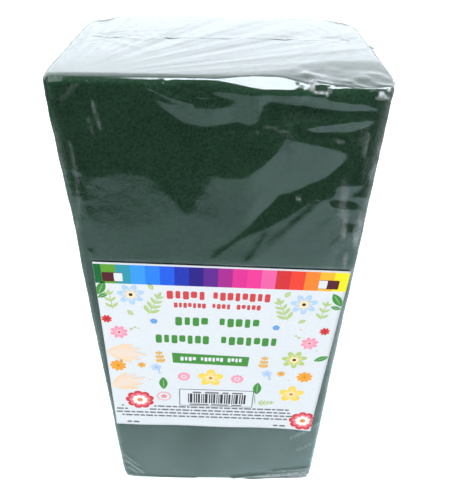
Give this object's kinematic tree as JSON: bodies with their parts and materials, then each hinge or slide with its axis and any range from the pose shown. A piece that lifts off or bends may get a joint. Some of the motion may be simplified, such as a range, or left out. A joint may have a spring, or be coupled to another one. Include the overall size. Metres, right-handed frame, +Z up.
{
  "type": "floral foam brick",
  "caption": "Brick of green floral foam standing on end, sealed in clear shrink film with welded seams, with a printed paper label stuck on its front.",
  "frame": {"origin": "centre of the face the brick stands on, at the underside of the film", "axes": "+Z up along the brick's 220 mm length, +X along its 100 mm width towards the film's side weld, -Y towards the labelled front face"},
  "size_m": [0.1072, 0.0714, 0.2212],
  "materials": {
    "foam": "matte",
    "label_paper": "satin",
    "clear_film": "gloss",
    "film_weld": "satin"
  },
  "bodies": {
    "root": {"foam_brick": "foam", "label_sticker": "label_paper", "shrink_film": "clear_film", "top_end_weld": "film_weld", "side_weld": "film_weld", "bottom_end_weld": "film_weld", "ear_top_right": "film_weld", "ear_top_left": "film_weld", "ear_bottom_right": "film_weld", "ear_bottom_left": "film_weld"}
  },
  "joints": []
}
